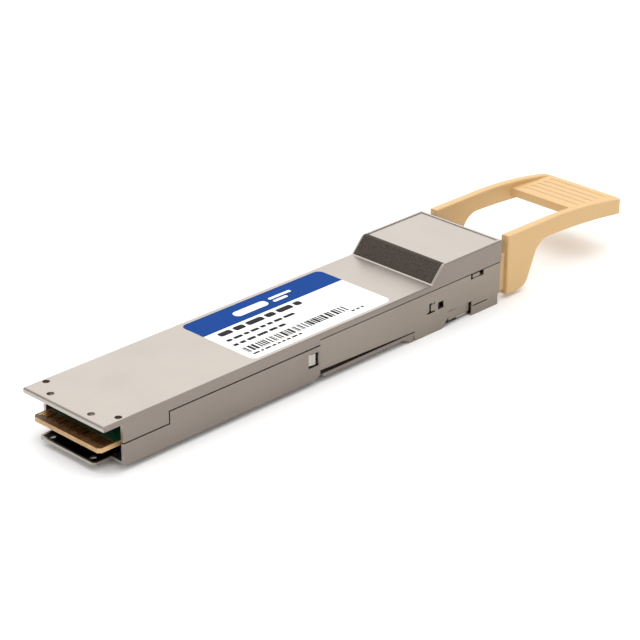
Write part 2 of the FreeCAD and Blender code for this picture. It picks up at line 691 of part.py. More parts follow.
def make_bottom_shell():
    body = new_part("bottom_shell")
    outside = (
        (d.wall_start, d.nose_drop),
        (d.cover_floor_start, d.nose_drop),
        (d.cover_floor_start, d.cover_thickness),
        (d.bridge_pocket_start, d.cover_thickness),
        (d.bridge_pocket_start, d.bridge_pocket_roof),
        (d.bridge_pocket_end, d.bridge_pocket_roof),
        (d.bridge_pocket_end, d.cover_thickness),
        (d.cover_floor_end, d.cover_thickness),
        (d.cover_floor_end, d.rear_notch_height),
        (d.shell_length, d.rear_notch_height),
        (d.shell_length, d.seam_rear),
        (d.seam_step + d.seam_gap, d.seam_rear),
        (d.seam_step + d.seam_gap, d.seam_front),
        (d.wall_start, d.seam_front),
    )
    extrude(body, "Pad", "YZ_Plane", outside, -half_width, half_width)
    front, low = d.wall_start, d.nose_drop
    dress(body, "Fillet", d.corner_round, lambda ends: all(near(p.y, front) and near(p.z, low) for p in ends))
    # cavities from the connector end to the port wall
    cut_box(body, (-cavity_half_width, cavity_half_width), (0, d.narrow_start),
            (floor_top, d.seam_rear + OVERSHOOT))
    cut_box(body, (-thin_wall_inner, thin_wall_inner), (0, d.thin_wall_end),
            (floor_top, d.seam_rear + OVERSHOOT))
    cut_box(body, (-d.inner_half_width, d.inner_half_width),
            (d.narrow_start - OVERSHOOT, d.nose_cavity_start),
            (floor_top, d.seam_rear + OVERSHOOT))
    cut_box(body, (-d.nose_inner_half_width, d.nose_inner_half_width),
            (d.nose_cavity_start - OVERSHOOT, port_wall_start), (floor_top, d.seam_rear + OVERSHOOT))
    cut_port_opening(body)
    beyond = half_width + OVERSHOOT
    rear = d.shell_length + OVERSHOOT
    for side in SIDES.values():
        # seat for the cover's sides, above the slider channel and around the nose
        cut_box(body, side_span(side, cover_inner, beyond), (d.cover_start, rear),
                (d.channel_floor, d.seam_rear + OVERSHOOT))
        cut_box(body, side_span(side, cover_inner, beyond), (d.cover_floor_start, rear), (0, d.channel_floor))
        # slider channel, latch window and the skin that the arm passes behind
        cut_box(body, side_span(side, d.channel_wall, beyond), (d.cover_start, rear),
                (d.channel_floor, d.channel_roof))
        cut_box(body, side_span(side, d.channel_wall, cover_inner),
                (d.window_start, d.cover_start + OVERSHOOT), (d.window_low, d.window_high))
        cut_box(body, side_span(side, d.channel_wall, beyond), (d.window_start, d.window_end),
                (d.window_low, d.window_high))
        # room for the slider's legs beside the nose, and for the prongs of the pull tab
        cut_box(body, side_span(side, d.channel_wall, beyond), (d.bridge_pocket_start, d.bridge_pocket_end),
                (0, d.channel_roof))
        cut_box(body, side_span(side, d.prong_channel_wall, beyond), (d.prong_channel_start, rear),
                (d.prong_channel_floor, d.seam_rear + OVERSHOOT))
        # room for the cover's snap tab
        cut_box(body, side_span(side, d.snap_inner - d.snap_room, beyond),
                (d.snap_start - d.snap_room, d.snap_end + d.snap_room),
                (d.channel_roof, d.seam_rear + OVERSHOOT))
        # spring pocket
        cut_box(body, side_span(side, d.pocket_inner, d.channel_wall + OVERSHOOT),
                (d.pocket_start, d.spring_end),
                (d.spring_z - d.pocket_half_height, d.spring_z + d.pocket_half_height))
        # open notch where the side wall ends and the floor bar starts
        notch_low, notch_high = side_span(side, cavity_half_width, beyond)
        extrude(body, "Pocket", "YZ_Plane", floor_notch(), notch_low, notch_high)
        # wedge-shaped stop under the floor bar
        stop_low, stop_high = side_span(side, d.inner_half_width, half_width)
        extrude(body, "Pad", "YZ_Plane", stop_wedge(), stop_low, stop_high)
    # tongue under the card, with bevelled front corners
    reach, bevel, root = d.tongue_half_width, d.corner_round, d.wall_start + OVERSHOOT
    tongue = (
        (-reach, root),
        (-reach, d.tongue_start + bevel),
        (bevel - reach, d.tongue_start),
        (reach - bevel, d.tongue_start),
        (reach, d.tongue_start + bevel),
        (reach, root),
    )
    extrude(body, "Pad", "XY_Plane", tongue, floor_top - d.tongue_thickness, floor_top)
    for side in SIDES.values():
        rod(body, "Subtractive", "Z", (side * d.plate_hole_x, d.plate_hole_y, d.nose_drop),
            d.plate_hole_radius, d.floor_thickness)
        for screw_x, screw_y in SCREWS:
            rod(body, "Additive", "Z", (side * screw_x, screw_y, floor_top), d.boss_radius,
                d.board_low - floor_top)
            rod(body, "Subtractive", "Z", (side * screw_x, screw_y, d.nose_drop),
                d.screw_radius + d.screw_clearance, d.board_low - d.nose_drop)
            cone(body, "Subtractive", "Z", (side * screw_x, screw_y, d.nose_drop),
                 d.screw_head_radius + d.screw_clearance, d.screw_radius + d.screw_clearance,
                 d.screw_head_height + d.screw_head_sink)
    return body


def floor_notch():
    """V-shaped notch in the lower side edge, in front of the cover sheet."""
    return (
        (d.floor_notch_start, d.nose_drop - OVERSHOOT / 2),
        (d.cover_start, floor_top),
        (d.floor_notch_flat_end, floor_top),
        (d.floor_notch_end, d.nose_drop - OVERSHOOT / 2),
    )


def stop_wedge():
    """Ramp under the floor bar that stops the module in its cage."""
    return (
        (d.wedge_start, d.nose_drop),
        (d.wedge_low_start, 0),
        (d.wedge_low_end, 0),
        (d.wedge_end, d.nose_drop),
    )


def make_cover_sheet():
    body = new_part("cover_sheet")
    side_outline = (
        (d.cover_start, d.cover_low_front),
        (d.cover_floor_start, d.cover_low_rear),
        (d.cover_floor_start, d.corner_round),
        (d.cover_floor_start + d.corner_round, 0),
        (d.finger_start - d.finger_ramp, 0),
        (d.finger_start, d.finger_ramp_top),
        (d.finger_start, d.finger_top),
        (d.finger_end + d.finger_slot, d.finger_top),
        (d.finger_end + d.finger_slot, 0),
        (d.cover_floor_end, 0),
        (d.cover_floor_end, d.rear_notch_height),
        (cover_end, d.rear_notch_height),
        (cover_end, d.cover_top),
        (d.cover_start, d.cover_top),
    )
    add_box(body, (-cover_inner, cover_inner), (d.cover_floor_start, d.cover_floor_end),
            (0, d.cover_thickness))
    for side in SIDES.values():
        low, high = side_span(side, cover_inner, half_width)
        extrude(body, "Pad", "YZ_Plane", side_outline, low, high)
    for side in SIDES.values():
        # the floor is cut away beside the pressed fingers
        cut_box(body, side_span(side, cover_inner - d.floor_edge_cut, cover_inner),
                (d.finger_start - d.finger_lead, d.finger_end + d.finger_slot), (0, d.cover_thickness))
        # pressed finger, leaning inward towards its free end
        tip = half_width - d.finger_depth
        leaf = [
            (side * half_width, d.finger_start),
            (side * tip, d.finger_end),
            (side * (tip - d.cover_thickness), d.finger_end),
            (side * cover_inner, d.finger_start),
        ]
        extrude(body, "Pad", "XY_Plane", leaf, d.finger_low, d.finger_top - d.finger_slot)
        cut_side_slots(body, side)
        # snap tab in the notch of the upper edge
        add_box(body, side_span(side, d.snap_inner, d.snap_outer), (d.snap_start, d.snap_end),
                (d.snap_low, d.snap_high))
    return body


def cut_side_slots(body, side):
    """Bracket-shaped slot, square hole, edge notch and tab slit in one side of the cover."""
    span = side_span(side, cover_inner - OVERSHOOT, half_width + OVERSHOOT)
    slots = (
        ((d.slot_stem_start, d.slot_stem_end), (d.slot_low, d.slot_high)),
        ((d.slot_stem_start, d.slot_arm_end), (d.slot_high - d.slot_arm_height, d.slot_high)),
        ((d.slot_tail_start, d.slot_arm_end), (d.slot_low, d.slot_low + d.slot_arm_height)),
        ((d.square_start, d.square_end), (d.square_low, d.square_high)),
        ((d.snap_notch_start, d.snap_notch_end), (d.snap_notch_low, d.cover_top + OVERSHOOT)),
        ((d.slit_start, d.slit_end), (d.slit_low, d.slit_high)),
    )
    for y, z in slots:
        cut_box(body, span, y, z)


def make_release_slider():
    body = new_part("release_slider")
    add_box(body, (-slider_outer, slider_outer), (d.bridge_start, d.bridge_end),
            (d.bridge_low, d.bridge_low + d.bridge_thickness))
    for side in SIDES.values():
        crown_outer = d.slider_tip_outer
        crown_inner = crown_outer - d.slider_thickness
        strip = [
            (side * d.slider_inner, d.slider_end),
            (side * slider_outer, d.slider_end),
            (side * slider_outer, d.slider_bend_end),
            (side * crown_outer, d.slider_crown_end),
            (side * crown_outer, d.slider_crown_start),
            (side * (crown_outer - d.slider_tip_inset), d.slider_tip),
            (side * (crown_inner - d.slider_tip_inset), d.slider_tip),
            (side * crown_inner, d.slider_crown_start),
            (side * crown_inner, d.slider_crown_end - d.slider_bend_skew),
            (side * d.slider_inner, d.slider_bend_end - d.slider_bend_skew),
        ]
        extrude(body, "Pad", "XY_Plane", strip, d.slider_low, d.slider_high)
        add_box(body, side_span(side, d.slider_inner, slider_outer), (d.bridge_start, d.bridge_end),
                (d.bridge_low, d.slider_low))
        add_box(body, side_span(side, d.pusher_inner, d.slider_inner),
                (d.spring_start - d.pusher_length, d.spring_start),
                (d.spring_z - d.pusher_half_height, d.spring_z + d.pusher_half_height))
    return body


def make_return_spring(name, side):
    """Closed-end compression coil, swept along a helix about the spring axis."""
    helix = doc.addObject("Part::Helix", f"{name}_helix")
    length = d.spring_end - d.spring_start - 2 * d.spring_wire
    bind(helix, Height=length, Radius=d.spring_radius, Pitch=length / d.spring_turns)
    section = doc.addObject("Part::Circle", f"{name}_section")
    bind(section, Radius=d.spring_wire, Placement__Base__x=d.spring_radius)
    section.Placement.Rotation = FreeCAD.Rotation(FreeCAD.Vector(1, 0, 0), 90)
    coil = doc.addObject("Part::Sweep", name)
    coil.Label = name
    coil.Sections = [section]
    coil.Spine = (helix, [])
    coil.Solid = True
    coil.Frenet = True
    coil.Placement.Rotation = FreeCAD.Rotation(FreeCAD.Vector(1, 0, 0), -90)
    bind(coil, Placement__Base__x=side * d.spring_x, Placement__Base__z=d.spring_z,
         Placement__Base__y=d.spring_start + d.spring_wire - d.overall_length / 2)
    PARTS.append(coil)
    return coil


def make_pull_tab():
    body = new_part("pull_tab")
    arm_inner = d.tab_half_width - d.tab_arm
    arm_side = (
        (d.tab_front, d.tab_leg_low),
        (d.tab_front, d.tab_top),
        (d.tab_crest, d.tab_top, d.tab_top_radius),
        (d.overall_length, d.tab_tip_high),
        (d.overall_length, d.tab_tip_low, -d.tab_under_radius),
        (d.tab_knee, d.tab_knee_z),
        (d.tab_foot_rear, d.tab_leg_low),
    )
    for side in SIDES.values():
        low, high = side_span(side, arm_inner, d.tab_half_width)
        extrude(body, "Pad", "YZ_Plane", arm_side, low, high)
    # the grip's core joins the arms first; its top skin comes after the rounded edges
    extrude(body, "Pad", "YZ_Plane", grip_side(d.grip_skin), -arm_inner, arm_inner)
    rounds = (
        (d.tab_knee_round, d.tab_knee, d.tab_knee_z),
        (d.tab_foot_round, d.tab_foot_rear, d.tab_leg_low),
    )
    for radius, y, z in rounds:
        dress(body, "Fillet", radius, lambda ends: all(near(p.y, y) and near(p.z, z) for p in ends))
    end, outer = d.overall_length, d.tab_half_width
    dress(body, "Fillet", d.tab_tip_round,
          lambda ends: all(near(p.y, end) and near(abs(p.x), outer) for p in ends))
    dress(body, "Fillet", d.tab_edge_round, lambda ends: all(near(abs(p.x), outer) for p in ends))
    low_limit = d.grip_front_top.value
    dress(body, "Fillet", d.tab_edge_round,
          lambda ends: all(near(abs(p.x), arm_inner) and p.z > low_limit for p in ends))
    extrude(body, "Pad", "YZ_Plane", grip_side(0), -arm_inner, arm_inner)
    cut_grip_grooves(body)
    # prongs that run into the nose, with a shoulder behind the port face
    for side in SIDES.values():
        add_box(body, side_span(side, d.prong_inner, d.prong_outer), (d.prong_start, d.neck_start),
                (d.prong_low, d.prong_high))
        neck = side_span(side, d.prong_inner, d.neck_outer)
        add_box(body, neck, (d.neck_start, d.tab_front), (d.prong_low, d.prong_high))
        add_box(body, neck, (d.shoulder_start, d.tab_front), (d.prong_low, d.shoulder_high))
        # slot that the slider's arm is moulded into
        cut_box(body, side_span(side, d.slider_inner, slider_outer), (d.prong_start, d.slider_end),
                (d.slider_low, d.slider_high))
    return body


def grip_side(skin):
    """Section of the grip panel, with its top lowered by the skin."""
    return (
        (d.grip_start, d.grip_front_low),
        (d.grip_start, d.grip_front_top - skin),
        (d.overall_length, d.grip_rear_top - skin),
        (d.overall_length, d.grip_rear_low),
    )


def cut_grip_grooves(body):
    """Shallow grooves across the grip, following its sloping top."""
    slope = (d.grip_rear_top - d.grip_front_top) / (d.overall_length - d.grip_start)
    for index in range(int(d.groove_count.value)):
        front = d.groove_start + index * d.groove_pitch
        rear = front + d.groove_width
        front_top = d.grip_front_top + slope * (front - d.grip_start)
        rear_top = d.grip_front_top + slope * (rear - d.grip_start)
        groove = (
            (front, front_top - d.groove_depth),
            (front, front_top + OVERSHOOT),
            (rear, rear_top + OVERSHOOT),
            (rear, rear_top - d.groove_depth),
        )
        extrude(body, "Pocket", "YZ_Plane", groove, -d.groove_half_length, d.groove_half_length)


def make_main_board():
    body = new_part("main_board")
    half, corner = d.board_half_width, d.board_corner
    right_side = [
        (half - corner, d.tongue_start),
        (half, d.tongue_start + corner),
        (half, d.board_narrow_start),
        (d.board_rear_half_width, d.board_narrow_start),
        (d.board_rear_half_width, d.board_end),
    ]
    shape = right_side + [(-x, y) for x, y in reversed(right_side)]
    extrude(body, "Pad", "XY_Plane", shape, d.board_low, board_top)
    for side in SIDES.values():
        for screw_x, screw_y in SCREWS:
            rod(body, "Subtractive", "Z", (side * screw_x, screw_y, d.board_low),
                d.screw_radius + d.screw_clearance, d.board_thickness)
    return body


def make_edge_contacts(name, low, high):
    """Rows of gold contacts in ground-signal-signal groups; the grounds start further forward."""
    body = new_part(name)
    group_pitch = 3 * d.contact_pitch
    count = 3 * d.contact_groups
    first = -(count - 1) * d.contact_pitch / 2
    for place, start in enumerate((d.ground_contact_start, d.signal_contact_start, d.signal_contact_start)):
        left = first + place * d.contact_pitch - d.contact_width / 2
        pad = add_box(body, (left, left + d.contact_width), (start, d.contact_end), (low, high))
        repeat_along_x(body, pad, group_pitch, d.contact_groups)
    return body


def make_block_part(name, x, y, z):
    body = new_part(name)
    add_box(body, x, y, z)
    return body


def make_electronics():
    chip_span = (-d.chip_half_width, d.chip_half_width)
    make_block_part("signal_processor", chip_span, (d.chip_start, chip_end), (board_top, chip_top))
    make_block_part("processor_thermal_pad", chip_span, (d.chip_start, chip_end),
                    (chip_top, chip_top + d.pad_thickness))
    make_block_part("microcontroller", (d.controller_x, d.controller_x + d.controller_size),
                    (d.controller_y, d.controller_y + d.controller_size),
                    (board_top, board_top + d.controller_height))
    make_block_part("clock_oscillator", (d.oscillator_x, d.oscillator_x + d.oscillator_width),
                    (d.oscillator_y, d.oscillator_y + d.oscillator_length),
                    (board_top, board_top + d.oscillator_height))
    make_block_part("flash_memory", (-d.memory_width / 2, d.memory_width / 2),
                    (d.memory_y, d.memory_y + d.memory_length), (d.board_low - d.memory_height, d.board_low))
    regulators = new_part("voltage_regulators")
    first = add_box(regulators, (d.regulator_x, d.regulator_x + d.regulator_size),
                    (d.regulator_y, d.regulator_y + d.regulator_size),
                    (board_top, board_top + d.regulator_height))
    repeat_along_x(regulators, first, d.regulator_pitch, 2)
    inductors = new_part("power_inductors")
    first = add_box(inductors, (d.inductor_x, d.inductor_x + d.inductor_width),
                    (d.inductor_y, d.inductor_y + d.inductor_length),
                    (board_top, board_top + d.inductor_height))
    repeat_along_x(inductors, first, d.inductor_pitch, d.inductor_count)
    make_decoupling_capacitors()


def make_decoupling_capacitors():
    """One row of small capacitors in front of the signal processor and one behind it."""
    body = new_part("decoupling_capacitors")
    start_x = -((d.capacitor_count - 1) * d.capacitor_pitch + d.capacitor_width) / 2
    rows = (d.chip_start - d.capacitor_gap - d.capacitor_length, chip_end + d.capacitor_gap)
    for row in rows:
        first = add_box(body, (start_x, start_x + d.capacitor_width), (row, row + d.capacitor_length),
                        (board_top, board_top + d.capacitor_height))
        repeat_along_x(body, first, d.capacitor_pitch, d.capacitor_count)
    return body


def make_optical_engine():
    make_block_part("optical_substrate", (-d.substrate_half_width, d.substrate_half_width),
                    (d.substrate_start, d.substrate_start + d.substrate_length), (board_top, substrate_top))
    chips = {"laser_driver_chip": 1, "receiver_amplifier_chip": -1}
    for name, side in chips.items():
        make_block_part(name, side_span(side, d.driver_inner, d.driver_outer), (d.driver_start, driver_end),
                        (substrate_top, driver_top))
    arrays = {"laser_array": 1, "photodiode_array": -1}
    for name, side in arrays.items():
        make_block_part(name, side_span(side, d.array_inner, d.array_inner + d.array_length),
                        (d.array_start, d.array_start + d.array_width),
                        (substrate_top, substrate_top + d.array_height))
    make_block_part("engine_thermal_pad", (-d.driver_outer, d.driver_outer), (d.driver_start, driver_end),
                    (driver_top, driver_top + d.pad_thickness))
    make_lens_block()
    make_fibre_ribbon()


def make_lens_block():
    body = new_part("lens_block")
    lens_top = substrate_top + d.lens_height
    add_box(body, (-d.lens_half_width, d.lens_half_width), (d.lens_start, d.lens_end),
            (substrate_top, lens_top))
    cut_box(body, (-d.lens_cavity_half_width, d.lens_cavity_half_width),
            (d.lens_start + d.lens_cavity_margin, d.lens_cavity_end),
            (substrate_top, substrate_top + d.lens_cavity_height))
    mirror = (
        (d.mirror_start, lens_top),
        (d.mirror_start + d.mirror_depth, lens_top - d.mirror_depth),
        (d.mirror_start + 2 * d.mirror_depth, lens_top - d.mirror_depth),
        (d.mirror_start + 2 * d.mirror_depth, lens_top),
    )
    extrude(body, "Pocket", "YZ_Plane", mirror, -d.mirror_half_width, d.mirror_half_width)
    return body


def make_fibre_ribbon():
    """Flat ribbon that climbs a little from the lens block to the ferrule boot."""
    body = new_part("fibre_ribbon")
    low = d.ribbon_start_z - d.ribbon_thickness / 2
    climb = d.port_axis_z - d.ribbon_start_z
    line = (
        (d.lens_end, low),
        (d.ribbon_bend_start, low),
        (d.ribbon_bend_end, low + climb),
        (d.boot_start, low + climb),
    )
    upper = [(y, z + d.ribbon_thickness) for y, z in reversed(line)]
    extrude(body, "Pad", "YZ_Plane", list(line) + upper, -d.ribbon_half_width, d.ribbon_half_width)
    return body


def port_z(reach):
    """The Z pair that reaches evenly above and below the port's axis."""
    return (d.port_axis_z - reach, d.port_axis_z + reach)


def even(reach):
    return (-reach, reach)


def make_port():
    make_ferrule()
    make_guide_pins()
    clamp = new_part("guide_pin_clamp")
    add_box(clamp, even(d.clamp_half_width), (clamp_start, ferrule_start), port_z(d.clamp_half_height))
    cut_box(clamp, even(d.clamp_slot_half_width), (clamp_start, ferrule_start),
            port_z(d.clamp_slot_half_height))
    cut_pin_bores(clamp, clamp_start, ferrule_start)
    make_block_part("ferrule_boot", even(d.clamp_slot_half_width), (d.boot_start, ferrule_start),
                    port_z(d.clamp_slot_half_height))
    retainer = new_part("ferrule_retainer")
    plate_start = clamp_start - d.retainer_thickness
    add_box(retainer, even(d.retainer_half_width), (plate_start, clamp_start), port_z(d.retainer_half_height))
    cut_box(retainer, even(d.clamp_slot_half_width + d.ferrule_clearance), (plate_start, clamp_start),
            port_z(d.clamp_slot_half_height + d.ferrule_clearance))
    for side in SIDES.values():
        add_box(retainer,
                side_span(side, d.retainer_half_width - d.retainer_thickness, d.retainer_half_width),
                (clamp_start, d.receptacle_start), port_z(d.clamp_half_height))
    make_receptacle()
    gasket = new_part("port_emi_gasket")
    gasket_y = (d.gasket_start, d.gasket_start + d.gasket_length)
    add_box(gasket, even(d.receptacle_half_width + d.gasket_thickness), gasket_y,
            port_z(d.receptacle_half_height + d.gasket_thickness))
    cut_box(gasket, even(d.receptacle_half_width), gasket_y, port_z(d.receptacle_half_height))


def cut_pin_bores(body, start, end):
    for side in SIDES.values():
        rod(body, "Subtractive", "Y", (side * d.pin_half_pitch, start, d.port_axis_z),
            d.pin_radius + d.pin_bore_clearance, end - start)


def make_ferrule():
    body = new_part("mt_ferrule")
    add_box(body, even(d.shoulder_half_width), (ferrule_start, d.receptacle_start),
            port_z(d.shoulder_half_height))
    add_box(body, even(d.ferrule_half_width), (d.receptacle_start, d.ferrule_end),
            port_z(d.ferrule_half_height))
    cut_pin_bores(body, ferrule_start, d.ferrule_end)
    return body


def make_guide_pins():
    """Two pins, thicker where the ferrule holds them, tapering to their ground free ends."""
    body = new_part("guide_pins")
    taper_start = d.ferrule_end - d.pin_taper
    tip_start = d.pin_end - d.pin_free_radius
    for side in SIDES.values():
        x, z = side * d.pin_half_pitch, d.port_axis_z
        rod(body, "Additive", "Y", (x, clamp_start, z), d.pin_radius, taper_start - clamp_start)
        cone(body, "Additive", "Y", (x, taper_start, z), d.pin_radius, d.pin_free_radius, d.pin_taper)
        rod(body, "Additive", "Y", (x, d.ferrule_end, z), d.pin_free_radius, tip_start - d.ferrule_end)
        cone(body, "Additive", "Y", (x, tip_start, z), d.pin_free_radius, d.pin_free_radius / 3,
             d.pin_end - tip_start)
    return body


def make_receptacle():
    body = new_part("port_receptacle")
    wall_end = d.receptacle_start + d.receptacle_wall
    add_box(body, even(d.receptacle_half_width), (d.receptacle_start, port_wall_start),
            port_z(d.receptacle_half_height))
    cut_box(body, even(d.port_half_width), (wall_end, port_wall_start), port_z(d.port_half_height))
    cut_box(body, even(d.ferrule_half_width + d.ferrule_clearance), (d.receptacle_start, wall_end),
            port_z(d.ferrule_half_height + d.ferrule_clearance))
    key_top = d.port_axis_z + d.port_half_height + d.port_key_height
    cut_box(body, even(d.port_key_half_width), (wall_end, port_wall_start), (d.port_axis_z, key_top))
    for side in SIDES.values():
        arm = [
            (side * d.latch_inner, wall_end - OVERSHOOT),
            (side * (d.latch_inner + d.latch_thickness), wall_end - OVERSHOOT),
            (side * (d.latch_inner + d.latch_thickness), d.latch_end),
            (side * d.latch_inner, d.latch_end),
            (side * (d.latch_inner - d.latch_hook), d.latch_end - 2 * d.latch_hook),
            (side * d.latch_inner, d.latch_end - 2 * d.latch_hook),
        ]
        low, high = port_z(d.latch_half_height)
        extrude(body, "Pad", "XY_Plane", arm, low, high)
    return body


def make_seam_gasket(name, side):
    make_block_part(name, side_span(side, d.seam_gasket_inner, d.seam_gasket_inner + d.seam_gasket_width),
                    (d.seam_step + d.seam_gap, d.narrow_start), (d.seam_rear, d.seam_rear + d.seam_gap))


def make_housing_screws():
    """Countersunk screws that go up through the floor and the board into the top shell."""
    body = new_part("housing_screws")
    head_low = d.nose_drop + d.screw_head_sink
    head_high = head_low + d.screw_head_height
    for side in SIDES.values():
        for screw_x, screw_y in SCREWS:
            x = side * screw_x
            cone(body, "Additive", "Z", (x, screw_y, head_low), d.screw_head_radius, d.screw_radius,
                 d.screw_head_height)
            rod(body, "Additive", "Z", (x, screw_y, head_high), d.screw_radius, d.screw_tip - head_high)
            socket = body.newObject("PartDesign::SubtractivePrism", "screw_socket")
            socket.Polygon = 6
            bind(socket, Circumradius=d.screw_socket_radius, Height=d.screw_socket_depth,
                 Placement__Base__x=x, Placement__Base__y=screw_y, Placement__Base__z=head_low)
    return body


def label_outline(gap):
    """Rectangle with rounded corners, drawn inside the label's recess by a gap all round."""
    left, right = d.label_low_x + gap, d.label_high_x - gap
    front, rear = d.label_start + gap, d.label_end - gap
    turn = d.label_round
    return (
        (left, rear - turn, turn),
        (left + turn, rear),
        (right - turn, rear, turn),
        (right, rear - turn),
        (right, front + turn, turn),
        (right - turn, front),
        (left + turn, front, turn),
        (left, front + turn),
    )


def make_product_label():
    body = new_part("product_label")
    extrude(body, "Pad", "XY_Plane", label_outline(d.label_clearance), thermal_z - d.label_thickness,
            thermal_z)
    return body


def check_and_export():
    """Stop on a failed feature or a bad solid, then write one STEP file for each sub-part."""
    doc.recompute()
    for item in doc.Objects:
        if "Invalid" in item.State or "Error" in item.State:
            raise RuntimeError(f"{item.Name} is {item.State}")
    for item in PARTS:
        if item.Shape.isNull() or not item.Shape.isValid():
            raise RuntimeError(f"{item.Label} has no valid shape")
    os.makedirs("parts", exist_ok=True)
    for item in PARTS:
        item.Shape.exportStep(f"parts/{item.Label}.step")
        print(f"{item.Label}: {len(item.Shape.Solids)} solids, {item.Shape.Volume:.2f} mm3")


make_top_shell()
make_bottom_shell()
make_slope_gasket()
make_cover_sheet()
make_release_slider()
for spring_side, spring_sign in SIDES.items():
    make_return_spring(f"return_spring_{spring_side}", spring_sign)
    make_seam_gasket(f"seam_gasket_{spring_side}", spring_sign)
make_pull_tab()
make_main_board()
make_edge_contacts("edge_contacts_top", board_top, board_top + d.contact_thickness)
make_edge_contacts("edge_contacts_bottom", d.board_low - d.contact_thickness, d.board_low)
make_electronics()
make_optical_engine()
make_port()
make_housing_screws()
make_product_label()
check_and_export()
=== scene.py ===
import json
import math
import random

import bmesh
import bpy
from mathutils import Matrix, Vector


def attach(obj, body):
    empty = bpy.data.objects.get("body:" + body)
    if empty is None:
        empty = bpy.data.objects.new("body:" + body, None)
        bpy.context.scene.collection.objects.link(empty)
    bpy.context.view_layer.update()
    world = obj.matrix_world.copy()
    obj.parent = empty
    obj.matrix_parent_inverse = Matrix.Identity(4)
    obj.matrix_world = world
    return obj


# Looks of a pluggable optical transceiver. Metres, in the CAD frame: +Y from the edge connector
# to the pull tab, +Z out of the flat thermal face. Stations along the module are counted in
# millimetres from the connector end, as on the part's own sheet.

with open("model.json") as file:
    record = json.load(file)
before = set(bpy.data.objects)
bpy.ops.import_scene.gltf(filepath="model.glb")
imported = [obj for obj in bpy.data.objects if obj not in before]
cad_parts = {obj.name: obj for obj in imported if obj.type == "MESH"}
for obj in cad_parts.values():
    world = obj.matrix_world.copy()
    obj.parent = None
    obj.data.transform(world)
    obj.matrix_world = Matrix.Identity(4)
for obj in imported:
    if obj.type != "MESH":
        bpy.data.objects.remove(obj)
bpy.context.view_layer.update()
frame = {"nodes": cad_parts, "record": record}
nodes = frame["nodes"]

MM = 0.001
HALF_LENGTH = 74.25
THERMAL_Z = 10.7
PRINT_THICKNESS = 0.012
MASK_START = 4.3
# A box on the shell floor under the board at the connector end, painted near-black as painted shade.
TONGUE_SHADE_X = 7.3
TONGUE_SHADE_STATIONS = (0.8, 9.0)
TONGUE_SHADE_Z = (1.6, 2.1)


def station(place):
    """The frame's Y in metres, from millimetres counted from the connector end."""
    return (place - HALF_LENGTH) * MM


# ---------------------------------------------------------------- shaders


